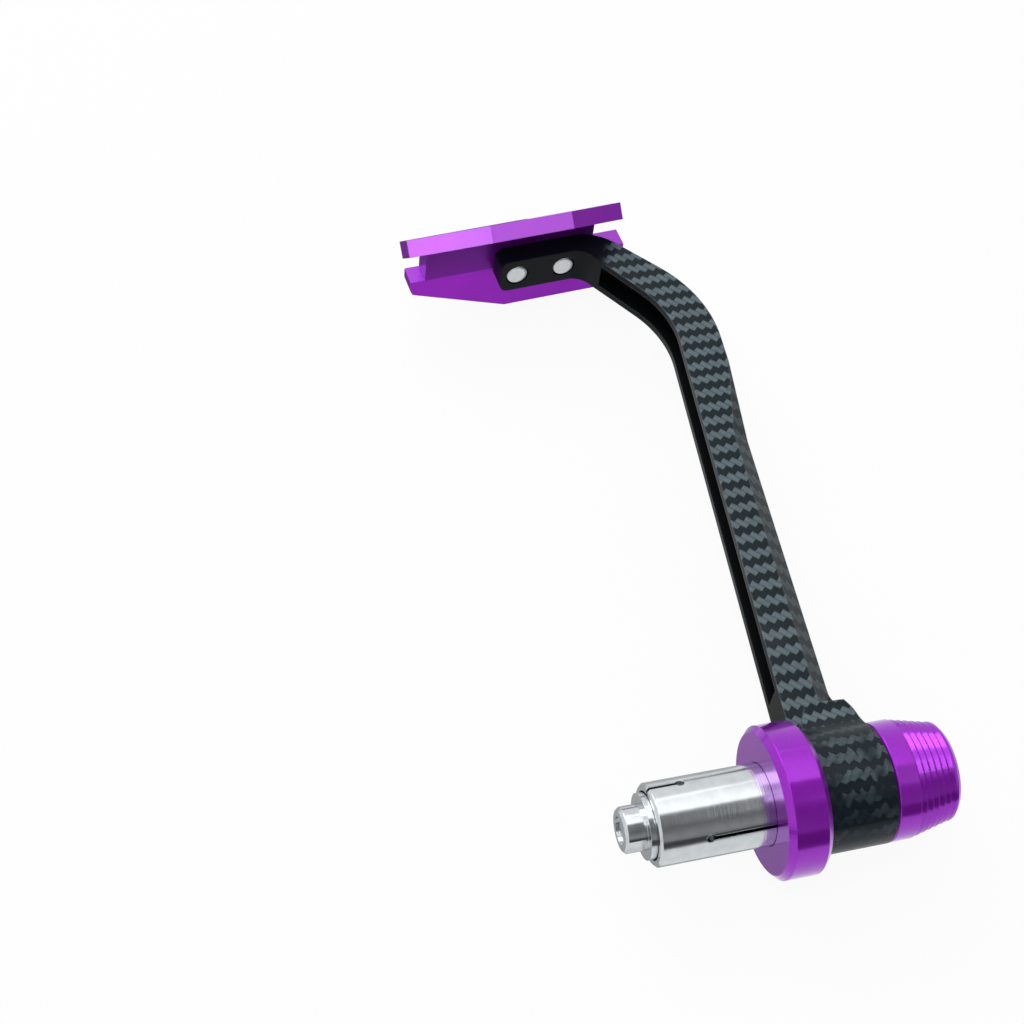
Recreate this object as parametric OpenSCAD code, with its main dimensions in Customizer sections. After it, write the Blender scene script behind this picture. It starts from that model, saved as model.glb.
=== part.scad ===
// Lever guard for one end of a handlebar.
// The origin is on the axis of the bar, in the plane where the bar tube ends.
// X runs outboard along the bar, Y runs forward to the winglet, Z is up.

/* [Plug in the bar tube] */
// Outer diameter of the slotted sleeve that grips the inside of the tube
sleeve_d = 17.2; // [15:0.1:18.5]
// Length of the sleeve
sleeve_len = 24.5; // [22:0.5:36]
// Bore of the sleeve
sleeve_bore = 12; // [11:0.1:13]
// Width of the slots that let the sleeve spread
slot_w = 0.8; // [0.6:0.1:1.6]
// Length of each slot
slot_len = 14; // [10:0.5:17]
// Diameter of the round hole that ends a slot
slot_hole_d = 1.8; // [1.8:0.1:3]
// Length of the wedge's tip that stands out of the sleeve
wedge_tip_len = 6; // [3:0.5:9]
// Diameter of the wedge's tip
wedge_tip_d = 9.6; // [8.6:0.1:10.5]
// Length of the wedge's cone inside the sleeve
wedge_cone_len = 9; // [6:0.5:10]

/* [Collar] */
// How far the collar's rim stands out past the ring
collar_rim = 3.4; // [2:0.1:5]
// Thickness of the collar
collar_w = 9.4; // [7:0.2:13]
// Chamfer on both rims of the collar
collar_chamfer = 1.3; // [0.5:0.1:2]
// Diameter of the domed peg that keeps the arm from turning
peg_d = 4.4; // [3:0.2:5]
// Height of the peg above the collar's face
peg_len = 7; // [4:0.5:9]
// Depth of the seat in the collar that centres the sleeve
seat_depth = 1; // [0.6:0.1:2]
// Clearance round the sleeve in that seat
seat_gap = 0.1; // [0.05:0.05:0.3]
// Step turned off the sleeve where it sits in the collar
seat_relief = 0.3; // [0.2:0.1:0.6]

/* [Mount ring of the arm] */
// Diameter of the grooved spacer inside the ring; the ring, collar and cap follow it
spacer_d = 10.8; // [10:0.2:14]
// Width of the ring along the bar
ring_w = 15.2; // [12:0.2:20]
// Wall of the ring round its hollow
ring_wall = 2.2; // [1.6:0.1:3]
// Clearance round the peg, to the hollow's wall and to the spacer
peg_gap = 0.3; // [0.2:0.05:0.6]
// Radius of the fillet between the ring and the arm
root_fillet = 14; // [8:1:20]

/* [Arm] */
// Height of the arm's section
arm_h = 10; // [8:0.5:12]
// Width of the arm next to the ring
arm_root_w = 12.4; // [11:0.2:13.4]
// Width of the arm where the bend begins
arm_top_w = 10.4; // [9.4:0.2:12]
// Width of the slanting stretch before the tab
arm_slant_w = 9.4; // [8:0.2:10.4]
// Lean of the long stretch away from the motorcycle, in degrees
arm_lean = 4.6; // [0:0.2:8]
// Distance from the bar axis to the start of the bend
arm_reach = 122; // [90:1:150]
// Radius of the bend
bend_r = 32; // [24:1:45]
// Turn of the bend, in degrees
bend_turn = 42; // [30:1:55]
// Length of the slanting stretch
slant_len = 14.6; // [11:0.2:26]
// Wall left above and below the arm's channel
channel_wall = 1.8; // [1.2:0.1:2.4]
// Wall left behind the arm's channel
channel_back = 4.2; // [3.4:0.1:5]
// Width of the bevel along the upper outer edge
bevel = 4.2; // [2:0.1:4.6]
// Distance from the start of the bend back to where the bevel begins to run out
bevel_end = 30; // [10:1:40]
// Length over which the bevel runs out
bevel_fade = 22; // [10:1:30]

/* [Tab and screws] */
// Thickness of the tab that carries the winglet
tab_t = 5.4; // [4:0.2:7]
// Length of the tab's flat
tab_len = 19.3; // [18.9:0.1:24]
// Radius of the tab's free corners
tab_corner = 2.2; // [1:0.1:3]
// Distance from the tab's free end to the middle of the first screw
tab_margin = 4.4; // [3.6:0.1:5.5]
// Distance between the two screws
screw_pitch = 12.5; // [11.5:0.5:15]
// Thread diameter of the winglet's screws
screw_d = 6; // [4:0.5:6]
// Diameter of the screws' button heads
head_d = 10.5; // [9:0.1:11.2]
// Height of the button heads
head_h = 3.3; // [2.4:0.1:4]

/* [Winglet] */
// Length of the winglet
wing_len = 56.5; // [50:0.5:80]
// Thickness of the upright plate
plate_t = 5.5; // [4:0.1:7]
// Height of the upright plate above the screws
plate_up = 8.2; // [7.6:0.1:10]
// Depth of the upright plate below the screws, at its middle
plate_down = 16; // [12:0.5:22]
// Depth of the upright plate below the screws, at its free tip
plate_tip_down = 6.5; // [4:0.5:10]
// Thickness of the leaning hood
hood_t = 4.3; // [3.6:0.1:5.4]
// Width of the leaning hood at its middle
hood_mid = 13.3; // [11:0.1:16]
// Width of the leaning hood at its ends
hood_end = 7.8; // [6.5:0.1:10]
// Height of the notch under the hood at each end
notch_h = 9.8; // [7:0.2:11]
// Length of the notch at the free tip
tip_notch = 5.4; // [4:0.2:8]
// Length of the notch at the arm's end
arm_notch = 6.2; // [4:0.2:8]
// How far the plate's tip stays behind the hood's tip
notch_inset = 1.6; // [0.8:0.1:3]
// How far the plate stands out past the hood at the arm's end
arm_stand_out = 3; // [0:0.2:5]
// Corner cut at the winglet's free tip
tip_cut = 2; // [1:0.2:3]
// Corner cut at the winglet's arm end
arm_cut = 6; // [4:0.5:8]
// Turn of the winglet towards the motorcycle, in degrees
wing_turn = 5; // [0:0.5:8]

/* [Outer cap] */
// Step from the ring's rim down to the cap
cap_step = 0.1; // [0.1:0.1:1]
// Diameter that the cap loses along its cone
cap_taper = 4; // [2:0.2:6]
// Length of the cap
cap_len = 15; // [13:0.5:22]
// Length of the plain band next to the arm
cap_band = 5; // [3:0.5:7]
// Number of grooves turned in the cone
groove_count = 6; // [3:1:8]
// Depth of each groove
groove_depth = 0.7; // [0.3:0.1:1]
// Diameter of the through bolt's thread
bolt_d = 6; // [5:0.5:7]
// Thickness of metal under the bolt's head
cap_seat = 6; // [4:0.5:8]

/* [Hidden] */
$fn = 96;
fit = 0.15;
hollow_r = spacer_d / 2 + peg_d + 2 * peg_gap;
ring_d = 2 * (hollow_r + ring_wall);
collar_d = ring_d + 2 * collar_rim;
cap_d = ring_d - 2 * cap_step;
cap_end_d = cap_d - cap_taper;
anodised = "#8a2bb0";
zinc = "#c9ced3";
carbon = "#22282c";

ring_x0 = collar_w;
ring_x1 = ring_x0 + ring_w;
cap_x1 = ring_x1 + cap_len;
bolt_hole_d = bolt_d + 2 * fit + 0.3;
bolt_head_d = 10;
bolt_head_h = bolt_d;
head_x = ring_x1 + cap_seat;
wedge_end_x = -sleeve_len - wedge_tip_len;

// The arm's middle line: a long straight, a bend, a slanting straight, a short bend and the tab.
heading_0 = 90 - arm_lean;
heading_1 = heading_0 + bend_turn;
heading_2 = 180 + wing_turn;
corner_r = 9;
root_y = 8;
root_low_y = 0.5 * ring_d + 1.4;
root_top_y = root_low_y + 8;
root_x = ring_x0 + arm_root_w / 2 - 0.4;
function ahead(h) = [cos(h), sin(h)];
function leftward(h) = [-sin(h), cos(h)];
function step_on(p, h, d) = p + d * ahead(h);
function turn_end(p, h, r, a) = p + r * leftward(h) - r * leftward(h + a);
p_root = [root_x, root_y];
p_bend = step_on(p_root, heading_0, (arm_reach - root_y) / cos(arm_lean));
p_slant = turn_end(p_bend, heading_0, bend_r, bend_turn);
p_corner = step_on(p_slant, heading_1, slant_len);
p_tab = turn_end(p_corner, heading_1, corner_r, heading_2 - heading_1);
p_end = step_on(p_tab, heading_2, tab_len);

// Each station of the middle line is [place, heading, width].
bend_steps = 14;
corner_steps = 8;
function mix(a, b, t) = a + (b - a) * t;
stations = concat(
    [[p_root, heading_0, arm_root_w]],
    [for (i = [0:bend_steps]) let (t = i / bend_steps)
        [turn_end(p_bend, heading_0, bend_r, bend_turn * t), heading_0 + bend_turn * t,
         mix(arm_top_w, arm_slant_w, t * t)]],
    [for (i = [0:corner_steps]) let (t = i / corner_steps, a = heading_2 - heading_1)
        [turn_end(p_corner, heading_1, corner_r, a * t), heading_1 + a * t,
         mix(arm_slant_w, tab_t, 0.4 + 0.6 * t)]],
    [[p_end, heading_2, tab_t]]);
function left_edge(list, extra) = [for (s = list) s[0] + (s[2] / 2 + extra) * leftward(s[1])];
function right_edge(list, extra) = [for (s = list) s[0] - (s[2] / 2 + extra) * leftward(s[1])];
function reversed(list) = [for (i = [len(list) - 1:-1:0]) list[i]];

// The winglet's own frame: its origin is on the tab's rear face, half way between the screws.
screw_mid = tab_len - tab_margin - screw_pitch / 2;
wing_o = step_on(p_tab, heading_2, screw_mid) + tab_t / 2 * leftward(heading_2);
wing_tip = -wing_len * 0.609;
wing_end = wing_len + wing_tip;
plate_v = tab_t;

module along_x() { rotate([90, 0, 90]) children(); }
module turned() { rotate([0, 90, 0]) rotate_extrude() children(); }
module bore(x0, x1, d) { translate([x0, 0, 0]) rotate([0, 90, 0]) cylinder(d = d, h = x1 - x0); }
module in_wing_frame() { translate([wing_o[0], wing_o[1], 0]) rotate([0, 0, wing_turn]) children(); }
module across_wing(v0, v1) { translate([0, v1, 0]) rotate([90, 0, 0]) linear_extrude(v1 - v0) children(); }

// One slot in the sleeve: a saw cut that ends in a drilled hole.
module sleeve_slot(from_x, to_x, angle) {
    low = min(from_x, to_x);
    rotate([angle, 0, 0]) {
        translate([low, -slot_w / 2, 0]) cube([abs(to_x - from_x), slot_w, sleeve_d]);
        translate([to_x, 0, 0]) cylinder(d = slot_hole_d, h = sleeve_d, $fn = 32);
    }
}

module expander_sleeve() {
    x0 = -sleeve_len;
    rim = 0.5;
    cone_r = wedge_tip_d / 2 + 2.2;
    color(zinc) difference() {
        turned() polygon([[sleeve_bore / 2, seat_depth], [sleeve_d / 2 - seat_relief, seat_depth],
            [sleeve_d / 2 - seat_relief, 0], [sleeve_d / 2, 0], [sleeve_d / 2, x0 + rim],
            [sleeve_d / 2 - rim, x0], [cone_r + fit, x0],
            [sleeve_bore / 2, x0 + wedge_cone_len]]);
        for (a = [59, 239]) sleeve_slot(seat_depth + 1, -slot_len, a);
        for (a = [149, 329]) sleeve_slot(x0 - 1, x0 + slot_len / 2, a);
    }
}

module wedge_nut() {
    x0 = -sleeve_len;
    cone_r = wedge_tip_d / 2 + 2.2;
    flat = wedge_tip_d * 0.86;
    color(zinc) difference() {
        turned() polygon([[bolt_d / 2, wedge_end_x], [wedge_tip_d / 2 - 0.6, wedge_end_x],
            [wedge_tip_d / 2, wedge_end_x + 0.6], [wedge_tip_d / 2, x0 - 1.4], [cone_r - fit, x0 - 1.4],
            [cone_r - fit, x0], [sleeve_bore / 2 - fit, x0 + wedge_cone_len],
            [sleeve_bore / 2 - fit, x0 + wedge_cone_len + 2], [bolt_d / 2, x0 + wedge_cone_len + 2]]);
        for (s = [-1, 1]) translate([wedge_end_x - 1, s * (flat / 2 + wedge_tip_d / 2), 0])
            translate([0, -wedge_tip_d / 2, -wedge_tip_d])
                cube([wedge_tip_len - 1, wedge_tip_d, wedge_tip_d * 2]);
    }
}

module mount_bolt() {
    color(zinc) difference() {
        union() {
            bore(wedge_end_x + 0.5, head_x, bolt_d);
            turned() polygon([[0, head_x], [bolt_head_d / 2, head_x],
                [bolt_head_d / 2, head_x + bolt_head_h - 0.5],
                [bolt_head_d / 2 - 0.5, head_x + bolt_head_h], [0, head_x + bolt_head_h]]);
        }
        translate([head_x + bolt_head_h / 2, 0, 0]) rotate([0, 90, 0])
            cylinder(d = 5.8, h = bolt_head_h, $fn = 6);
    }
}

module mount_collar() {
    r = collar_d / 2;
    c = collar_chamfer;
    color(anodised) difference() {
        turned() polygon([[bolt_hole_d / 2, seat_depth], [sleeve_d / 2 + seat_gap, seat_depth],
            [sleeve_d / 2 + seat_gap, 0], [r - c, 0], [r, c], [r, collar_w - c],
            [r - c, collar_w], [bolt_hole_d / 2, collar_w]]);
        at_peg(collar_w - 3) bore(0, 4, peg_d - 1);
    }
}

peg_angle = -62;
peg_r = hollow_r - peg_gap - peg_d / 2;
module at_peg(x) { rotate([peg_angle, 0, 0]) translate([x, peg_r, 0]) children(); }

module stop_peg() {
    color(anodised) at_peg(collar_w) {
        bore(-3, 0, peg_d - 1);
        turned() polygon(concat([[0, 0], [peg_d / 2, 0]],
            [for (a = [0:15:90]) [peg_d / 2 * cos(a), peg_len - peg_d / 2 + peg_d / 2 * sin(a)]]));
    }
}

module ring_spacer() {
    r = spacer_d / 2;
    groove = 0.6;
    pitch = ring_w / 8;
    color(anodised) turned() polygon(concat(
        [[bolt_hole_d / 2, ring_x0], [r, ring_x0], [r, ring_x0 + 1.6 * pitch]],
        [for (i = [2:5]) each [[r, ring_x0 + i * pitch], [r - groove, ring_x0 + (i + 0.2) * pitch],
            [r - groove, ring_x0 + (i + 0.5) * pitch], [r, ring_x0 + (i + 0.7) * pitch]]],
        [[r, ring_x1], [bolt_hole_d / 2, ring_x1]]));
}

// Side view of the ring and its root: a circle that flows into the arm's height.
module root_profile() {
    r = ring_d / 2;
    half = arm_h / 2;
    yc = sqrt(pow(r + root_fillet, 2) - pow(half + root_fillet, 2));
    low = asin((half + root_fillet) / (r + root_fillet));
    upper = [for (i = [0:12]) let (a = 180 + low + (90 - low) * i / 12)
        [yc + root_fillet * cos(a), half + root_fillet + root_fillet * sin(a)]];
    circle(r = r);
    polygon(concat([[0, 0]], upper, reversed([for (p = upper) [p[0], -p[1]]])));
}

// Plan of the root: the arm's outer edge flows out to the ring's outer face.
function root_flow() = let (edge = right_edge(stations, 0)[0],
    lean = (arm_root_w - arm_top_w) / 2 / (arm_reach - root_y))
    [for (i = [0:10]) let (t = i / 10, y = mix(root_low_y, root_top_y, t),
        x = edge[0] + (y - edge[1]) * (tan(arm_lean) - lean)) [mix(ring_x1, x, (1 - cos(180 * t)) / 2), y]];

module root_plan() {
    middle = (ring_x0 + ring_x1) / 2;
    polygon(concat([[ring_x0, -ring_d], [ring_x1, -ring_d]], root_flow(),
        [[middle, root_top_y], [ring_x0, root_y + peg_gap]]));
}

module arm_plan() {
    flow = root_flow();
    polygon(concat(reversed(left_edge(stations, 0)), right_edge(stations, 0)));
    polygon(concat([for (i = [3:10]) flow[i]], [[root_x, root_top_y], [root_x, flow[3][1]]]));
}

// The channel is open towards the motorcycle and leaves a wall above, below and behind.
module channel() {
    h = arm_h - 2 * channel_wall;
    span = slant_len * 0.7;
    line = concat([[step_on(p_root, heading_0, 0.6 * ring_d), heading_0, arm_root_w]],
        [for (i = [1:bend_steps + 1]) stations[i]],
        [[step_on(p_slant, heading_1, span), heading_1, arm_slant_w]]);
    floor_edge = [for (s = line) s[0] - (s[2] / 2 - channel_back) * leftward(s[1])];
    translate([0, 0, -h / 2]) linear_extrude(h) polygon(concat(reversed(left_edge(line, 3)), floor_edge,
        [step_on(floor_edge[len(line) - 1], heading_1 + 30, 0.4 * arm_slant_w)]));
}

// A slanting cut along the upper outer edge of the long stretch, which runs out before the bend.
module bevel_cut() {
    edge = step_on(p_bend, heading_0, 0) - arm_top_w / 2 * leftward(heading_0);
    slope = atan2((arm_root_w - arm_top_w) / 2, arm_reach - root_y);
    size = 3 * bevel;
    run_out = atan2(bevel * sin(45), bevel_fade);
    translate([edge[0], edge[1], arm_h / 2 - bevel]) rotate([0, 0, heading_0 + slope - 90])
        rotate([0, -45, 0]) intersection() {
            translate([0, root_low_y + 4 - arm_reach, 0]) cube([size, 1.3 * arm_reach, size]);
            translate([0, -bevel_end, 0]) rotate([0, 0, -run_out])
                translate([0, -1.5 * arm_reach, -size]) cube([2 * size, 3 * arm_reach, 3 * size]);
        }
}

module tab_profile() {
    x1 = screw_mid + 1;
    x0 = screw_mid - tab_len;
    half = arm_h / 2;
    r = tab_corner;
    difference() {
        translate([x0, -half]) square([x1 - x0, arm_h]);
        for (s = [-1, 1]) translate([x0, s * half]) difference() {
            square(2 * r, center = true);
            translate([r, -s * r]) circle(r = r);
        }
    }
}

module guard_arm() {
    half = arm_h / 2;
    color(carbon) difference() {
        union() {
            translate([0, 0, -half]) linear_extrude(arm_h) arm_plan();
            intersection() {
                translate([ring_x0, 0, 0]) along_x() linear_extrude(ring_w) root_profile();
                translate([0, 0, -ring_d]) linear_extrude(2 * ring_d) root_plan();
            }
        }
        bore(ring_x0 - 1, ring_x1 + 1, spacer_d + 2 * fit);
        bore(ring_x0 + ring_wall, ring_x1 - ring_wall, 2 * hollow_r);
        translate([ring_x0 + ring_wall, -4, -ring_d]) cube([ring_w - 2 * ring_wall, 15, ring_d - half - 1]);
        at_peg(ring_x0 - 1) bore(0, ring_wall + 2, peg_d + 2 * fit);
        channel();
        bevel_cut();
        in_wing_frame() {
            for (s = [-1, 1]) translate([s * screw_pitch / 2, -1, 0]) rotate([-90, 0, 0])
                cylinder(d = screw_d, h = tab_t + 2, $fn = 48);
            across_wing(-6, tab_t + 6) difference() {
                translate([screw_mid - tab_len - 2, -arm_h]) square([tab_len / 2, 2 * arm_h]);
                tab_profile();
            }
        }
    }
}

// Front view of the plate: a pointed lower edge and a notch at each end. The hood has three straight edges.
plate_tip = wing_tip + notch_inset;
plate_end = wing_end + arm_stand_out;
block_z = plate_up - notch_h;
function plate_outline() = [[plate_tip, -plate_tip_down + tip_cut],
    [plate_tip + 0.3 * tip_cut, -plate_tip_down + 0.3 * tip_cut],
    [plate_tip + tip_cut, -plate_tip_down], [-wing_len * 0.12, -plate_down],
    [plate_end - arm_cut, -plate_down], [plate_end, -plate_down + arm_cut],
    [plate_end, block_z], [wing_end - arm_notch, block_z], [wing_end - arm_notch, plate_up],
    [wing_tip + tip_notch, plate_up], [wing_tip + tip_notch, block_z], [plate_tip, block_z]];
function hood_outline() = [[wing_tip, 0], [wing_end, 0], [wing_end, hood_end],
    [wing_len * 0.125, hood_mid], [-wing_len * 0.252, hood_mid], [wing_tip, hood_end]];

module winglet() {
    front_v = plate_v + plate_t;
    color(anodised) in_wing_frame() difference() {
        union() {
            across_wing(plate_v, front_v) polygon(plate_outline());
            translate([0, front_v, plate_up]) rotate([135, 0, 0])
                linear_extrude(hood_t) polygon(hood_outline());
        }
        for (s = [-1, 1]) translate([s * screw_pitch / 2, plate_v - 1, 0]) rotate([-90, 0, 0])
            cylinder(d = screw_d + 2 * fit, h = plate_t + 2, $fn = 48);
    }
}

// A button-head screw: the head lies on the plate's front, the thread ends flush in the tab.
module button_screw(side) {
    front_v = plate_v + plate_t;
    dome_r = (pow(head_d / 2, 2) + pow(head_h, 2)) / (2 * head_h);
    key = 4;
    color(zinc) in_wing_frame() translate([side * screw_pitch / 2, 0, 0]) rotate([-90, 0, 0]) difference() {
        rotate_extrude() polygon(concat([[0, 0], [screw_d / 2 - 0.5, 0], [screw_d / 2, 0.5],
            [screw_d / 2, front_v], [head_d / 2, front_v]],
            [for (i = [0:8]) let (a = asin(head_d / 2 / dome_r) * (1 - i / 8))
                [dome_r * sin(a), front_v + head_h - dome_r + dome_r * cos(a)]]));
        translate([0, 0, front_v + head_h - 2]) cylinder(d = key / cos(30), h = 4, $fn = 6);
    }
}
module tip_screw() { button_screw(-1); }
module arm_screw() { button_screw(1); }

module bar_end_cap() {
    x0 = ring_x1;
    xc = x0 + cap_band;
    cone_len = cap_len - cap_band - 1.2;
    pitch = cone_len / groove_count;
    function cone_r(t) = mix(cap_d / 2, cap_end_d / 2, t);
    funnel = 2.6;
    recess_r = bolt_head_d / 2 + 0.6;
    color(anodised) turned() polygon(concat(
        [[bolt_hole_d / 2, x0], [cap_d / 2 - 0.6, x0], [cap_d / 2, x0 + 0.6], [cap_d / 2, xc]],
        [for (i = [0:groove_count - 1]) let (t = i / groove_count, u = (i + 0.9) / groove_count)
            each [[cone_r(t) - 0.1, xc + t * cone_len],
                [cone_r(t) - groove_depth, xc + t * cone_len + 0.25 * pitch],
                [cone_r(u), xc + u * cone_len]]],
        [[cap_end_d / 2, cap_x1 - 0.8], [cap_end_d / 2 - 0.8, cap_x1], [recess_r + funnel, cap_x1],
         [recess_r, head_x + 2], [recess_r, head_x], [bolt_hole_d / 2, head_x]]));
}

expander_sleeve();
wedge_nut();
mount_bolt();
mount_collar();
stop_peg();
ring_spacer();
guard_arm();
winglet();
tip_screw();
arm_screw();
bar_end_cap();
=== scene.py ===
# %% [markdown]
# # Lever guard: the looks
#
# This lesson dresses a finished CAD model for a studio picture. The guard clamps in the end of a
# handlebar: a slotted zinc sleeve grips the tube, a purple collar stops on the tube's end, and a
# black arm with a woven print carries a purple winglet in front of the lever. All of its shapes come
# from the CAD model, which stays exactly where it is. What is left for Blender is the camera, the
# light and the finishes, so most of what follows is about materials.

import math

import bpy
from mathutils import Matrix, Vector


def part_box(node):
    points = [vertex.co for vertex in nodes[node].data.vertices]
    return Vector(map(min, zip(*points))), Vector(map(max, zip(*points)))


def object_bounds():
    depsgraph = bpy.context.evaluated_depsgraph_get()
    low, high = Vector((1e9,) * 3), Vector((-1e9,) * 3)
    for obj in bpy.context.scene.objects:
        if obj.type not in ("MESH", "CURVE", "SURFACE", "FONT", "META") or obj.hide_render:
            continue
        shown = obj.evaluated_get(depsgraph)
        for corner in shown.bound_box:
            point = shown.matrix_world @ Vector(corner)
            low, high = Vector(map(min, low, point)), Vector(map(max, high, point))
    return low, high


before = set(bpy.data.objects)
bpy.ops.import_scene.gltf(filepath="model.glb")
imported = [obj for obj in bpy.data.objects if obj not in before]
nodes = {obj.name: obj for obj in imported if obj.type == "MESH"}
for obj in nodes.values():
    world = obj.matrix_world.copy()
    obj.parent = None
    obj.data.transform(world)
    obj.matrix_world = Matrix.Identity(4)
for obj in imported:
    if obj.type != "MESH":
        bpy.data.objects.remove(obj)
cad_low, cad_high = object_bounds()
MM = 0.001
for name in sorted(nodes):
    low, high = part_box(name)
    size = [round((high[i] - low[i]) / MM, 1) for i in range(3)]
    print("loaded", name, "size in mm", size, "triangles", len(nodes[name].data.polygons))

# %% [markdown]
# ## Camera
#
# The picture was taken from above and behind, with a fairly long lens. A camera can be set by turning
# it about by eye, but here its direction, distance and roll were worked out from the edges of the
# guard, so that every piece falls on the right place in the frame. The three directions of the camera
# are built from its azimuth, elevation and roll, and written into its matrix as columns.

# %% Camera
CAMERA_AZIMUTH = math.radians(19.6)
CAMERA_ELEVATION = math.radians(52.72)
CAMERA_ROLL = math.radians(7.35)
CAMERA_DISTANCE = 0.3987
CAMERA_LENS = 61.48
SENSOR_WIDTH = 36
CAMERA_TARGET = Vector((-0.03275, 0.08213, 0.0))


def aim_camera():
    """A camera round the target, rolled about its own view line."""
    flat = math.cos(CAMERA_ELEVATION)
    back = Vector((-math.sin(CAMERA_AZIMUTH) * flat, -math.cos(CAMERA_AZIMUTH) * flat,
                   math.sin(CAMERA_ELEVATION)))
    right = (-back).cross(Vector((0, 0, 1))).normalized()
    up = right.cross(-back).normalized()
    c, s = math.cos(CAMERA_ROLL), math.sin(CAMERA_ROLL)
    right, up = right * c + up * s, up * c - right * s
    data = bpy.data.cameras.new("studio_camera")
    data.lens, data.sensor_width = CAMERA_LENS, SENSOR_WIDTH
    data.clip_start, data.clip_end = 0.01, 50
    camera = bpy.data.objects.new("studio_camera", data)
    bpy.context.scene.collection.objects.link(camera)
    place = CAMERA_TARGET + CAMERA_DISTANCE * back
    camera.matrix_world = Matrix((
        (right.x, up.x, back.x, place.x), (right.y, up.y, back.y, place.y),
        (right.z, up.z, back.z, place.z), (0, 0, 0, 1)))
    bpy.context.scene.camera = camera
    return camera


camera = aim_camera()
print("camera at", [round(x, 4) for x in camera.matrix_world.translation])

# %% [markdown]
# ## Helpers for small sums
#
# A procedural material is a small calculation that runs at each point of a surface. In Blender each
# step of it is a node, and a long tree is hard to read when every node takes five lines. So a few
# short helpers add one node each and wire it up. An input may be a number or another node's output.

# %% Helpers for small sums
def open_finish(name):
    """A new material with its node tree and its Principled shader."""
    material = bpy.data.materials.new(name)
    material.use_nodes = True
    tree = material.node_tree
    return material, tree, tree.nodes["Principled BSDF"]


def plug(tree, socket, value):
    """Wires an output to a socket, or types a value into it."""
    if isinstance(value, bpy.types.NodeSocket):
        tree.links.new(value, socket)
    else:
        socket.default_value = value


def calc(tree, operation, *values):
    """One math node; the values are numbers or outputs."""
    node = tree.nodes.new("ShaderNodeMath")
    node.operation = operation
    for socket, value in zip(node.inputs, values):
        plug(tree, socket, value)
    return node.outputs[0]


def times(tree, first, second):
    """The product of two values."""
    return calc(tree, "MULTIPLY", first, second)


def scaled(tree, value, factor, start):
    """The value times a factor, on top of a start."""
    return calc(tree, "MULTIPLY_ADD", value, factor, start)


def other(tree, share):
    """What is left of 1."""
    return calc(tree, "SUBTRACT", 1.0, share)


def choose(tree, share, where_one, where_zero):
    """The first value where share is 1, the second where it is 0."""
    return calc(tree, "ADD", times(tree, where_one, share), times(tree, where_zero, other(tree, share)))


def distance(tree, a, b):
    """How far the point (a, b) lies from the middle."""
    return calc(tree, "SQRT", calc(tree, "ADD", times(tree, a, a), times(tree, b, b)))


def ramp(tree, value, low, high):
    """0 below low, 1 above high, and a smooth step between them."""
    node = tree.nodes.new("ShaderNodeMapRange")
    node.interpolation_type = "SMOOTHSTEP"
    plug(tree, node.inputs["Value"], value)
    node.inputs["From Min"].default_value = low
    node.inputs["From Max"].default_value = high
    return node.outputs["Result"]


def blend(tree, share, first, second):
    """The first colour where share is 0, the second where it is 1."""
    node = tree.nodes.new("ShaderNodeMix")
    node.data_type = "RGBA"
    plug(tree, node.inputs["Factor"], share)
    plug(tree, node.inputs["A"], first)
    plug(tree, node.inputs["B"], second)
    return node.outputs["Result"]


print("helpers for sums ready")

# %% [markdown]
# ## Helpers for place and surface
#
# A finish also has to know where it is and which way the surface faces. Both come from the piece
# itself and not from the camera, so the finish stays put when the picture is taken from elsewhere.
# Real edges are never sharp: soft_edges tilts the shading close to an edge as if it were rounded, and
# edge_share tells how close the edge is.

# %% Helpers for place and surface
def vector(tree, x, y, z):
    """Three numbers as one vector."""
    node = tree.nodes.new("ShaderNodeCombineXYZ")
    for socket, value in zip(node.inputs, (x, y, z)):
        plug(tree, socket, value)
    return node.outputs[0]


def place_in_mm(tree):
    """The point on the object in millimetres, as a vector and as x, y, z."""
    where = tree.nodes.new("ShaderNodeTexCoord")
    in_mm = tree.nodes.new("ShaderNodeVectorMath")
    in_mm.operation = "SCALE"
    in_mm.inputs["Scale"].default_value = 1 / MM
    tree.links.new(where.outputs["Object"], in_mm.inputs[0])
    split = tree.nodes.new("ShaderNodeSeparateXYZ")
    tree.links.new(in_mm.outputs["Vector"], split.inputs[0])
    return in_mm.outputs["Vector"], split.outputs["X"], split.outputs["Y"], split.outputs["Z"]


def facing(tree):
    """The surface's true normal as x, y, z."""
    node = tree.nodes.new("ShaderNodeNewGeometry")
    split = tree.nodes.new("ShaderNodeSeparateXYZ")
    tree.links.new(node.outputs["True Normal"], split.inputs[0])
    return split.outputs["X"], split.outputs["Y"], split.outputs["Z"]


def noise(tree, point, scale, detail=2.0):
    """Cloudy values round 0.5; scale is in clouds per millimetre."""
    node = tree.nodes.new("ShaderNodeTexNoise")
    plug(tree, node.inputs["Vector"], point)
    node.inputs["Scale"].default_value = scale
    node.inputs["Detail"].default_value = detail
    return node.outputs["Fac"]


def soft_edges(tree, radius):
    """A normal that turns round sharp edges, as on a real broken edge."""
    node = tree.nodes.new("ShaderNodeBevel")
    node.samples = 4
    node.inputs["Radius"].default_value = radius
    return node.outputs["Normal"]


def edge_share(tree, radius):
    """0 on a flat face, and up to 1 close to a sharp edge, where the soft normal turns away."""
    true = tree.nodes.new("ShaderNodeNewGeometry")
    dot = tree.nodes.new("ShaderNodeVectorMath")
    dot.operation = "DOT_PRODUCT"
    tree.links.new(true.outputs["True Normal"], dot.inputs[0])
    tree.links.new(soft_edges(tree, radius), dot.inputs[1])
    return ramp(tree, dot.outputs["Value"], 0.995, 0.90)


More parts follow.
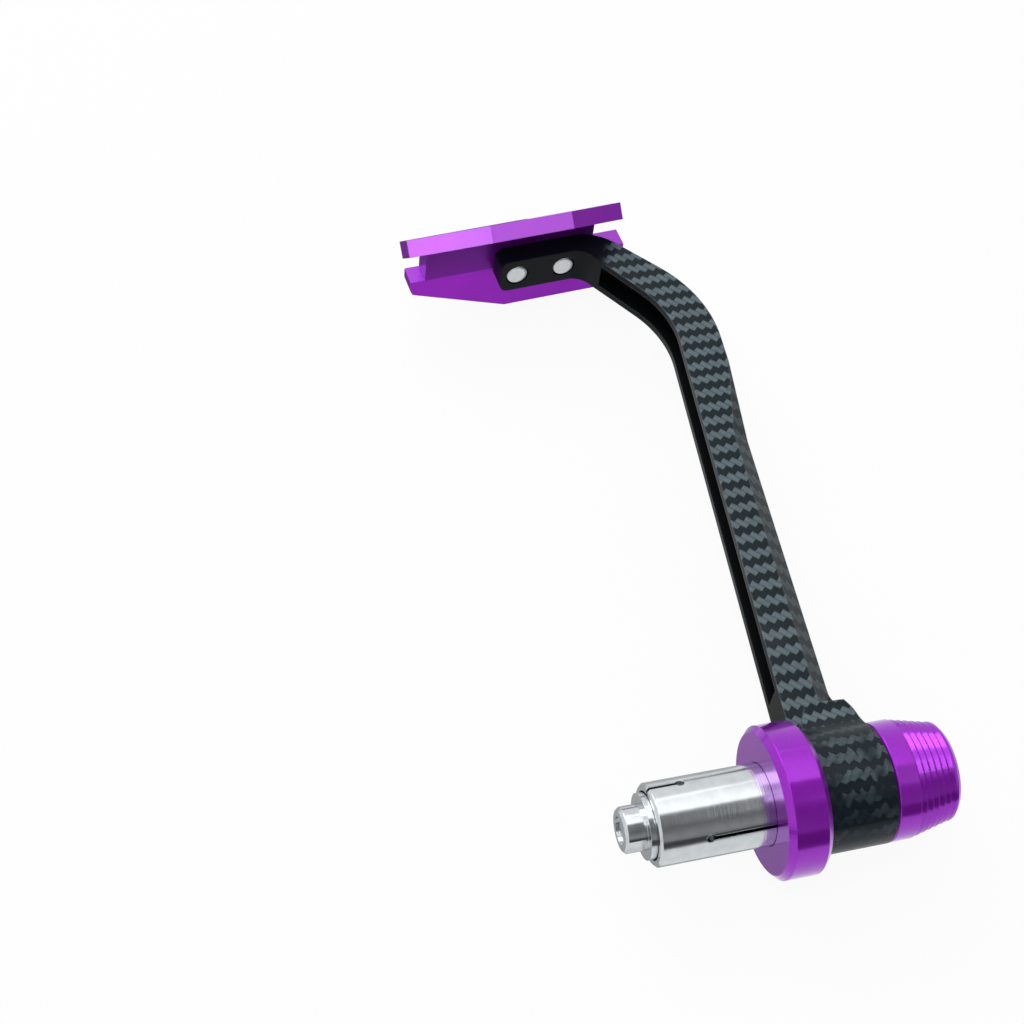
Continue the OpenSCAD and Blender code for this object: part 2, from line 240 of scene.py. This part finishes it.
def bump(tree, height, depth, normal):
    """Turns a height into a tilted normal; depth is in metres."""
    node = tree.nodes.new("ShaderNodeBump")
    plug(tree, node.inputs["Height"], height)
    node.inputs["Strength"].default_value = 1.0
    node.inputs["Distance"].default_value = depth
    plug(tree, node.inputs["Normal"], normal)
    return node.outputs["Normal"]


print("helpers for surfaces ready")

# %% [markdown]
# ## Bright zinc
#
# The sleeve, the wedge nut and the bolt are steel with a bright zinc plating. A metal is mostly what
# it mirrors, so the finish needs little colour of its own. What makes it look real are the faint
# lines that the lathe left round the bar axis, and a slight cloudiness of the plating. A picture of
# brushed metal could be wrapped round the pieces, but it would show a seam. Here the lines are a
# noise of two numbers only, the place along the bar and the distance from its axis. Neither changes
# on the way round a turned piece, so the lines close by themselves.

# %% Bright zinc
ZINC_DULL = (0.50, 0.53, 0.55, 1)
ZINC_BRIGHT = (0.66, 0.69, 0.71, 1)
POLISHED = 0.12         # roughness of smooth plated steel
ZINC_EDGE = 0.2 * MM    # how far the rounding of its edges reaches
LATHE_LINES, PLATING_CLOUDS = 3.5, 0.35     # how many fit in a millimetre


def make_zinc():
    """Plated steel with lathe lines round the bar axis."""
    material, tree, shader = open_finish("bright_zinc")
    point, x, y, z = place_in_mm(tree)
    lathe = noise(tree, vector(tree, x, distance(tree, y, z), 0.0), LATHE_LINES, 3.0)
    cloud = noise(tree, point, PLATING_CLOUDS, 3.0)
    plug(tree, shader.inputs["Base Color"], blend(tree, cloud, ZINC_DULL, ZINC_BRIGHT))
    shader.inputs["Metallic"].default_value = 1.0
    plug(tree, shader.inputs["Roughness"], scaled(tree, lathe, 0.14, POLISHED))
    plug(tree, shader.inputs["Normal"], bump(tree, lathe, 0.02 * MM, soft_edges(tree, ZINC_EDGE)))
    return material


bright_zinc = make_zinc()
print("made", bright_zinc.name)

# %% [markdown]
# ## Screws of the winglet
#
# Two button-head screws come through the winglet and end flush in the rear face of the tab. Their
# heads are smooth. A cut-off end shows its thread round a paler, slightly dented middle. A real
# thread could be modelled, but only its cut end ever shows, so the finish paints the shade in its
# grooves as a dark ring of colour: it works out how far each point lies from the screw's own axis and
# how far back it is. Both screws need this, each round its own middle, so one function makes a finish
# for each.

# %% Screws of the winglet
SCREW_TURN = math.radians(5)    # the winglet and its screws are turned by this about Z
STEEL_DULL = (0.46, 0.48, 0.49, 1)
STEEL_PALE = (0.66, 0.68, 0.69, 1)
# The colour of the painted shade in the thread's grooves.
THREAD_GROOVE_SHADE = (0.24, 0.26, 0.27, 1)
CUT_BEGINS, CUT_FULL = -4.0, -5.0       # mm ahead of the screw's middle, so these lie behind it
THREAD_BEGINS, THREAD_FULL = 2.2, 2.6   # radius in mm


def make_screw_steel(name, low, high):
    """Plated steel with a ring of painted groove shade on the cut end; low and high are the screw's box.
    """
    material, tree, shader = open_finish(name)
    point, x, y, z = place_in_mm(tree)
    middle = (low + high) / 2 / MM
    x, y = calc(tree, "SUBTRACT", x, middle.x), calc(tree, "SUBTRACT", y, middle.y)
    c, s = math.cos(SCREW_TURN), math.sin(SCREW_TURN)
    off_axis = calc(tree, "ADD", times(tree, x, c), times(tree, y, s))
    forward = calc(tree, "ADD", times(tree, x, -s), times(tree, y, c))
    cut_end = ramp(tree, forward, CUT_BEGINS, CUT_FULL)
    rim = ramp(tree, distance(tree, off_axis, z), THREAD_BEGINS, THREAD_FULL)
    # Painted shade: a dark ring of colour where the thread's grooves are.
    thread = times(tree, rim, cut_end)
    dents = noise(tree, point, 1.3, 3.0)
    pale = blend(tree, dents, STEEL_DULL, STEEL_PALE)
    plug(tree, shader.inputs["Base Color"], blend(tree, thread, pale, THREAD_GROOVE_SHADE))
    shader.inputs["Metallic"].default_value = 1.0
    plug(tree, shader.inputs["Roughness"], scaled(tree, cut_end, 0.24, POLISHED))
    dented = bump(tree, times(tree, dents, cut_end), 0.12 * MM, soft_edges(tree, ZINC_EDGE))
    plug(tree, shader.inputs["Normal"], dented)
    return material


screw_steel = {name: make_screw_steel(name + "_steel", *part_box(name))
               for name in ("tip_screw", "arm_screw")}
print("made", [material.name for material in screw_steel.values()])

# %% [markdown]
# ## Purple anodised aluminium
#
# Anodising grows a clear layer on aluminium, and dye fills it. Some of the light passes through the
# dye and mirrors off the metal, and some of it scatters in the layer. A purely metallic shader would
# go black wherever it mirrors something dark, and a plain paint would look like plastic. So the
# metallic value lies between the two, and a thin coat gives the white glint on top.
#
# Turned pieces keep fine lines round the bar axis. The winglet is milled and blasted, which gives an
# even satin, and its coat shows on upward faces only. Above the ledge at its notches, where the hood
# shelters it, the plate's colour is darkened: painted shade, in place of the hood's shadow. One
# function makes both finishes.

# %% Purple anodised aluminium
DYE_DEEP = (0.29, 0.011, 0.50, 1)
DYE_LIGHT = (0.34, 0.016, 0.57, 1)
# Painted shade: under the hood the plate's rear face is coloured darker, in place of the hood's shadow.
PAINTED_SHADE_UNDER_HOOD = (0.02, 0.001, 0.05, 1)
LEDGE = -1.6        # height in mm of the ledge at the winglet's notches
HOOD_FOOT = 8.4     # height in mm where the hood leaves the plate
HOOD_SHADE = 16.0   # how far below its foot, in mm, the hood still darkens the plate
COAT_ROUGHNESS = 0.10


def painted_hood_shade(tree, z, ny):
    """How much painted shade the hood puts on the plate's rear face: 0 below the ledge, most at the foot
    of the hood.
    """
    rear = calc(tree, "LESS_THAN", ny, -0.9)
    band = times(tree, ramp(tree, z, LEDGE - 0.3, LEDGE + 0.3), rear)
    deeper_shade = times(tree, band, ramp(tree, z, HOOD_FOOT - HOOD_SHADE, HOOD_FOOT))
    return scaled(tree, deeper_shade, 0.25, times(tree, band, 0.45))


def make_anodised(name, turned, metallic, roughness, coat):
    """Dyed aluminium with lathe lines if it is turned, and a blasted satin if it isn't."""
    material, tree, shader = open_finish(name)
    point, x, y, z = place_in_mm(tree)
    colour = blend(tree, noise(tree, point, 0.12), DYE_DEEP, DYE_LIGHT)
    if turned:
        grain = noise(tree, vector(tree, x, distance(tree, y, z), 0.0), 5.0)
        depth = 0.02 * MM
    else:
        _, ny, nz = facing(tree)
        # Painted shade: darker colour on the plate's rear face under the hood, where its shadow falls.
        colour = blend(tree, painted_hood_shade(tree, z, ny), colour, PAINTED_SHADE_UNDER_HOOD)
        coat = times(tree, ramp(tree, nz, 0.3, 0.6), coat)
        grain = noise(tree, point, 9.0)
        depth = 0.01 * MM
    plug(tree, shader.inputs["Base Color"], colour)
    shader.inputs["Metallic"].default_value = metallic
    plug(tree, shader.inputs["Roughness"], scaled(tree, grain, 0.10, roughness))
    shader.inputs["Specular IOR Level"].default_value = 0.15
    plug(tree, shader.inputs["Coat Weight"], coat)
    shader.inputs["Coat Roughness"].default_value = COAT_ROUGHNESS
    plug(tree, shader.inputs["Normal"], bump(tree, grain, depth, soft_edges(tree, 0.3 * MM)))
    return material


turned_purple = make_anodised("turned_purple", turned=True, metallic=0.65, roughness=0.14, coat=0.45)
milled_purple = make_anodised("milled_purple", turned=False, metallic=0.50, roughness=0.24, coat=0.9)
print("made", turned_purple.name, milled_purple.name)

# %% [markdown]
# ## The woven print
#
# The arm is a black moulding, and its weave is a printed film under a clear lacquer. The pattern is a
# two-by-two twill: each strip of fibres passes over two strips and under two, and each row steps on
# by one, which makes zigzag bands. Here the strips run at 45 degrees to the arm, so the bands run
# straight across it.
#
# The weave is worked out and not drawn. The point on the surface is turned by 45 degrees and divided
# by the strip's width. The whole part of each number says which strip it is, and the part after the
# point says where in the strip it lies. The sum of the two strip numbers, counted in fours, says which
# strip is on top. Side faces use height in place of width, and the ring uses the angle round the bar.
# The film was stretched there, so a stronger wobble blurs its bands.

# %% The woven print
STRIP = 1.52            # width of a strip in mm
RING_MIDDLE = 12.6      # radius in mm at which the film lies round the ring
RING_EDGE = 13.4        # radius in mm inside which a point counts as part of the ring
FIBRES_ACROSS, FIBRES_ALONG = 9.0, 0.8      # fineness across a strip and along it


def film_place(tree, x, y, z, nz):
    """Where a point lies in the flat film, across and along in mm, and 1 where it is on the ring."""
    flat = calc(tree, "GREATER_THAN", calc(tree, "ABSOLUTE", nz), 0.4)
    on_ring = calc(tree, "LESS_THAN", distance(tree, y, z), RING_EDGE)
    round_bar = times(tree, calc(tree, "ARCTAN2", z, y), RING_MIDDLE)
    across = choose(tree, on_ring, x, choose(tree, flat, x, z))
    along = choose(tree, on_ring, round_bar, y)
    return across, along, on_ring


def twill(tree, across, along, on_ring, point):
    """1 on the light strips and 0 on the dark ones, the height in the strip, and the strip numbers."""
    unrest = calc(tree, "SUBTRACT", noise(tree, point, 0.35), 0.5)
    along = calc(tree, "ADD", along, times(tree, unrest, scaled(tree, on_ring, 3.4, 0.7)))
    turn = math.sqrt(0.5) / STRIP
    p = times(tree, calc(tree, "ADD", along, across), turn)
    q = times(tree, calc(tree, "SUBTRACT", along, across), turn)
    strips = calc(tree, "ADD", calc(tree, "FLOOR", p), calc(tree, "FLOOR", q))
    light = calc(tree, "LESS_THAN", calc(tree, "FLOORED_MODULO", strips, 4.0), 1.5)
    place = choose(tree, light, calc(tree, "FRACT", p), calc(tree, "FRACT", q))
    crown = calc(tree, "SINE", times(tree, place, math.pi))
    return light, crown, p, q


def fibres(tree, p, q, light):
    """Fine lines along whichever strip is on top."""
    one = vector(tree, times(tree, p, FIBRES_ACROSS), times(tree, q, FIBRES_ALONG), 0.0)
    two = vector(tree, times(tree, p, FIBRES_ALONG), times(tree, q, FIBRES_ACROSS), 3.0)
    return choose(tree, light, noise(tree, one, 1.0), noise(tree, two, 1.0))


print("strip width in mm", STRIP, "band pitch in mm", round(4 * STRIP / math.sqrt(2), 2))

# %% [markdown]
# ## Where the print is weak or missing
#
# The film doesn't cover the moulding evenly. It is palest on the broad upper face, darker on the
# bevel and the sides, and blotted round the ring. The channel, every face towards the motorcycle and
# the tab behind the winglet are left as plain moulding. Each region could be a painted mask, but the
# CAD pieces have no flat map to paint on. So each mask is worked out from the surface's place and the
# way it faces, and it holds for any size of the arm that is close to this one.

# %% Where the print is weak or missing
CHANNEL_HALF = 3.3      # half the channel's height in mm, with a little to spare
ROOT_END = 14.0         # y in mm where the arm has left the ring
TAB_SLANT = 0.42        # slope of the line where the plain tab begins
TAB_BEGINS, TAB_FULL = 53.5, 57.0   # how far past that line, in mm, the film ends


def print_strength(tree, point, top, on_ring):
    """How strongly the light strips show."""
    strength = times(tree, scaled(tree, top, 0.62, 0.35), scaled(tree, on_ring, -0.42, 1.0))
    strength = times(tree, strength, scaled(tree, noise(tree, point, 0.25, 3.0), 0.5, 0.75))
    blot = times(tree, ramp(tree, noise(tree, point, 0.16, 1.0), 0.46, 0.60), on_ring)
    return times(tree, strength, scaled(tree, blot, -0.75, 1.0))


def plain_places(tree, x, y, z, nx):
    """1 inside the channel, 1 on the faces towards the motorcycle, and 1 on the tab."""
    level = calc(tree, "LESS_THAN", calc(tree, "ABSOLUTE", z), CHANNEL_HALF)
    inside = times(tree, level, calc(tree, "LESS_THAN", nx, 0.3))
    inside = times(tree, inside, calc(tree, "GREATER_THAN", y, ROOT_END))
    inboard = ramp(tree, nx, -0.4, -0.7)
    tab = ramp(tree, calc(tree, "SUBTRACT", times(tree, y, TAB_SLANT), x), TAB_BEGINS, TAB_FULL)
    return inside, inboard, tab


print("masks ready")

# %% [markdown]
# ## Carbon-look finish
#
# Now the print, the plain places and the lacquer come together. The strips and fibres set the grey of
# the film. Sharp edges carry a pale line of painted highlight, lighter colour in place of the gleam
# that a rounded edge catches. The lacquer is a coat: it is glossiest on the upper face and round the
# ring, and the bare moulding has none. It could be left at full strength, but then the whole arm would
# mirror the white room and lose its black.

# %% Carbon-look finish
PRINT_LIGHT = (0.125, 0.170, 0.190, 1)
PRINT_DARK = (0.003, 0.010, 0.015, 1)
MOULDING = (0.003, 0.004, 0.005, 1)
TAB_GREY = (0.004, 0.006, 0.008, 1)
# The colour of the painted highlight along sharp edges.
PAINTED_EDGE_HIGHLIGHT = (0.16, 0.21, 0.23, 1)


def make_carbon_look():
    """The moulding of the arm: print, plain places, painted edge highlights and lacquer."""
    material, tree, shader = open_finish("carbon_look_print")
    point, x, y, z = place_in_mm(tree)
    nx, _, nz = facing(tree)
    across, along, on_ring = film_place(tree, x, y, z, nz)
    light, crown, p, q = twill(tree, across, along, on_ring, point)
    lines = fibres(tree, p, q, light)
    top = ramp(tree, nz, 0.80, 0.95)
    strength = print_strength(tree, point, top, on_ring)
    inside, inboard, tab = plain_places(tree, x, y, z, nx)

    tone = times(tree, scaled(tree, lines, 0.9, 0.45), scaled(tree, crown, 0.40, 0.60))
    level = times(tree, times(tree, light, tone), strength)
    colour = blend(tree, level, PRINT_DARK, PRINT_LIGHT)
    colour = blend(tree, calc(tree, "MAXIMUM", inside, inboard), colour, MOULDING)
    colour = blend(tree, tab, colour, TAB_GREY)
    # Painted highlight: a pale line of colour along sharp edges, in place of the gleam a rounded edge
    # catches.
    no_edge_highlight = calc(tree, "MAXIMUM", tab, calc(tree, "MAXIMUM", inside, on_ring))
    edge = times(tree, edge_share(tree, 0.5 * MM), other(tree, no_edge_highlight))
    colour = blend(tree, times(tree, edge, 0.6), colour, PAINTED_EDGE_HIGHLIGHT)
    plug(tree, shader.inputs["Base Color"], colour)
    plug(tree, shader.inputs["Roughness"], scaled(tree, lines, 0.15, 0.34))
    shader.inputs["Specular IOR Level"].default_value = 0.08

    bare = calc(tree, "MAXIMUM", inside, calc(tree, "MAXIMUM", tab, inboard))
    lacquer = calc(tree, "MAXIMUM", scaled(tree, top, 0.16, 0.05), times(tree, on_ring, 0.17))
    plug(tree, shader.inputs["Coat Weight"], times(tree, lacquer, other(tree, bare)))
    shader.inputs["Coat Roughness"].default_value = COAT_ROUGHNESS
    height = times(tree, times(tree, crown, strength), other(tree, inside))
    plug(tree, shader.inputs["Normal"], bump(tree, height, 0.02 * MM, soft_edges(tree, 0.4 * MM)))
    return material


carbon_look = make_carbon_look()
print("made", carbon_look.name, "with", len(carbon_look.node_tree.nodes), "nodes")

# %% [markdown]
# ## Dressing the pieces
#
# Each CAD piece keeps its own mesh, and only the material in its slot changes. The names of the
# pieces pick the finish, so a piece that is added to the CAD later is noticed at once: the loop below
# would stop with its name.

# %% Dress the pieces
FINISH = {
    "expander_sleeve": bright_zinc, "wedge_nut": bright_zinc, "mount_bolt": bright_zinc,
    "tip_screw": screw_steel["tip_screw"], "arm_screw": screw_steel["arm_screw"],
    "mount_collar": turned_purple, "stop_peg": turned_purple, "ring_spacer": turned_purple,
    "bar_end_cap": turned_purple, "winglet": milled_purple, "guard_arm": carbon_look,
}
for name, piece in sorted(nodes.items()):
    for slot in piece.material_slots:
        slot.material = FINISH[name]
    print("dressed", name, "in", FINISH[name].name)

# %% [markdown]
# ## Floor and background
#
# The guard lies on white. A floor that is only white paint would turn grey in the picture, because it
# shows how much light falls on it. So rays from the camera, and rays that a shiny metal sends out,
# see a mostly glowing white floor, and every other ray sees plain white paint. The rest of the paint
# keeps the soft shadow under the guard. The world behind it is made the same way.

# %% Floor and background
GLOW_SHARE = 0.93       # the rest of the floor is paint, which shows the shadow
SOFT_LIGHT = 0.55


def bright_ray(tree):
    """1 for rays from the camera, from a mirror-like surface or through glass."""
    path = tree.nodes.new("ShaderNodeLightPath")
    seen = calc(tree, "MAXIMUM", path.outputs["Is Camera Ray"], path.outputs["Is Glossy Ray"])
    return calc(tree, "MAXIMUM", seen, path.outputs["Is Transmission Ray"])


def lay_floor(height, half=3.0):
    """A large white floor that glows for the camera and takes a faint shadow."""
    mesh = bpy.data.meshes.new("studio_floor")
    corners = [(-half, -half, height), (half, -half, height), (half, half, height), (-half, half, height)]
    mesh.from_pydata(corners, [], [(0, 1, 2, 3)])
    floor = bpy.data.objects.new("studio_floor", mesh)
    bpy.context.scene.collection.objects.link(floor)
    material, tree, shader = open_finish("white_floor")
    tree.nodes.remove(shader)
    paint = tree.nodes.new("ShaderNodeBsdfDiffuse")
    paint.inputs["Color"].default_value = (0.90, 0.90, 0.90, 1)
    glow = tree.nodes.new("ShaderNodeEmission")
    glow.inputs["Color"].default_value = (1, 1, 1, 1)
    mix = tree.nodes.new("ShaderNodeMixShader")
    plug(tree, mix.inputs["Fac"], times(tree, bright_ray(tree), GLOW_SHARE))
    tree.links.new(paint.outputs[0], mix.inputs[1])
    tree.links.new(glow.outputs[0], mix.inputs[2])
    tree.links.new(mix.outputs[0], tree.nodes["Material Output"].inputs["Surface"])
    mesh.materials.append(material)
    return floor


def light_world(level):
    """White for the camera and for mirrors, and an even soft light for everything else."""
    world = bpy.data.worlds.new("studio_world")
    world.use_nodes = True
    tree = world.node_tree
    background = tree.nodes["Background"]
    plug(tree, background.inputs["Color"], (1, 1, 1, 1))
    plug(tree, background.inputs["Strength"], scaled(tree, bright_ray(tree), 1.0 - level, level))
    bpy.context.scene.world = world
    return world


floor = lay_floor(cad_low.z - 0.4 * MM)
print("floor at z", round(floor.data.vertices[0].co.z, 4))
world = light_world(SOFT_LIGHT)
print("lit", world.name)

# %% [markdown]
# ## Lamps
#
# Two large soft lamps hang behind and above the guard. Their size matters more than their place: a
# large lamp makes the shadow so soft that it nearly vanishes, as in the picture. Small hard lamps
# would draw a second outline of the guard on the floor.

# %% Lamps
MIDDLE = (0.0, 0.07, 0.0)


def hang_lamp(name, place, size, power):
    """A square lamp that looks at the middle of the guard."""
    data = bpy.data.lights.new(name, "AREA")
    data.shape, data.size, data.energy = "SQUARE", size, power
    lamp = bpy.data.objects.new(name, data)
    bpy.context.scene.collection.objects.link(lamp)
    lamp.location = place
    lamp.rotation_euler = (Vector(MIDDLE) - Vector(place)).to_track_quat("-Z", "Y").to_euler()
    return lamp


lamps = [
    hang_lamp("back_lamp", (-0.25, 0.75, 0.75), 0.7, 4.2),
    hang_lamp("top_lamp", (-0.30, -0.10, 1.00), 0.5, 2.0),
]
print("lamps", [lamp.name for lamp in lamps])

# %% [markdown]
# ## Cards for the mirror images
#
# Metal in an all-white room looks flat, because it has nothing dark to mirror. A studio photographer
# stands black, grey and glowing cards round a shiny piece, and each one becomes a band in it. These
# cards do the same. A card glows with one strength at its first edge and fades to another at the far
# edge, and 1 is as bright as the background. It shows in mirror images only, and only on its front:
# the camera doesn't see it, and it throws no light and no shadow.

# %% One card
def stand_card(name, corners, near, far):
    """A card that glows with near along its first edge and fades to far at the other."""
    mesh = bpy.data.meshes.new(name)
    mesh.from_pydata(corners, [], [(0, 1, 2, 3)])
    card = bpy.data.objects.new(name, mesh)
    bpy.context.scene.collection.objects.link(card)
    material, tree, shader = open_finish(name)
    tree.nodes.remove(shader)
    start, across = Vector(corners[0]), Vector(corners[3]) - Vector(corners[0])
    across = across / across.length_squared
    where = tree.nodes.new("ShaderNodeTexCoord")
    dot = tree.nodes.new("ShaderNodeVectorMath")
    dot.operation = "DOT_PRODUCT"
    dot.inputs[1].default_value = across
    tree.links.new(where.outputs["Object"], dot.inputs[0])
    share = calc(tree, "SUBTRACT", dot.outputs["Value"], start.dot(across))
    glow = tree.nodes.new("ShaderNodeEmission")
    plug(tree, glow.inputs["Strength"], scaled(tree, share, far - near, near))
    geometry = tree.nodes.new("ShaderNodeNewGeometry")
    clear = tree.nodes.new("ShaderNodeBsdfTransparent")
    mix = tree.nodes.new("ShaderNodeMixShader")
    tree.links.new(geometry.outputs["Backfacing"], mix.inputs["Fac"])
    tree.links.new(glow.outputs[0], mix.inputs[1])
    tree.links.new(clear.outputs[0], mix.inputs[2])
    tree.links.new(mix.outputs[0], tree.nodes["Material Output"].inputs["Surface"])
    mesh.materials.append(material)
    card.visible_camera = False
    card.visible_shadow = False
    card.visible_diffuse = False
    return card


def card_facing(name, middle, aim, width, height, strength):
    """A card of a given size, turned so that its front looks at the aim."""
    middle, aim = Vector(middle), Vector(aim)
    normal = (aim - middle).normalized()
    right = Vector((0, 0, 1)).cross(normal).normalized()
    up = normal.cross(right)
    a, b = right * width / 2, up * height / 2
    corners = [middle - a - b, middle + a - b, middle + a + b, middle - a + b]
    return stand_card(name, corners, strength, strength)


print("cards glow with near at the first edge and far at the last")

# %% [markdown]
# ## Where the cards stand
#
# Dark cards stand in front of the guard and lie before it on the floor. They draw the dark line along
# the sleeve and the dark foot of the collar. Grey ones higher up shade the rest, and a glow above and
# behind keeps the far sides bright. On the floor, under_card lies where the collar's inboard face
# looks, and end_card where the free end of the winglet looks. The hood has three facets: right_card
# darkens the one by the arm, and the two small glows light up one of the others each. A card's place
# can be found by trial, but it is quicker to follow the camera's line of sight into the metal and out.

# %% All cards
LEFT, RIGHT, FRONT, HIGH = -0.4, 0.42, -0.6, 1.0
ON_FLOOR = cad_low.z - 0.2 * MM


def standing(low, high):
    """The corners of a card that stands in front of the guard."""
    return [(RIGHT, FRONT, low), (LEFT, FRONT, low), (LEFT, FRONT, high), (RIGHT, FRONT, high)]


def lying(left, right, front, back, height=ON_FLOOR):
    """The corners of a level card that looks up, or down if left and right are swapped."""
    return [(left, front, height), (right, front, height), (right, back, height), (left, back, height)]


AT_RIGHT = [(0.6, 0.9, 0.0), (0.6, -0.5, 0.0), (0.6, -0.5, 0.42), (0.6, 0.9, 0.42)]
cards = [
    stand_card("horizon_card", standing(ON_FLOOR, 0.13), 0.04, 0.06),
    stand_card("front_card", standing(0.13, 0.60), 0.36, 0.15),
    stand_card("upper_card", standing(0.60, HIGH), 0.15, 0.15),
    stand_card("top_card", lying(RIGHT, LEFT, FRONT, -0.05, HIGH), 0.15, 0.22),
    stand_card("back_glow", lying(RIGHT, LEFT, -0.05, 1.0, HIGH), 1.9, 1.2),
    stand_card("low_card", lying(-0.3, 0.6, FRONT, -0.10), 0.05, 0.05),
    stand_card("under_card", lying(-0.08, 0.01, -0.010, 0.06), 0.40, 0.60),
    stand_card("end_card", lying(-0.12, 0.0, 0.166, 0.26), 0.12, 0.12),
    stand_card("right_card", AT_RIGHT, 0.3, 0.3),
    card_facing("tip_glow", (-0.062, 0.074, 0.090), (-0.036, 0.158, 0.012), 0.050, 0.050, 4.2),
    card_facing("hood_glow", (0.018, 0.079, 0.093), (-0.018, 0.158, 0.012), 0.060, 0.045, 2.2),
]
print("cards", [card.name for card in cards])

# %% [markdown]
# ## View transform
#
# Nothing was added outside the CAD model. The last line sets the standard view transform.

# %% View transform
bpy.context.scene.view_settings.view_transform = "Standard"
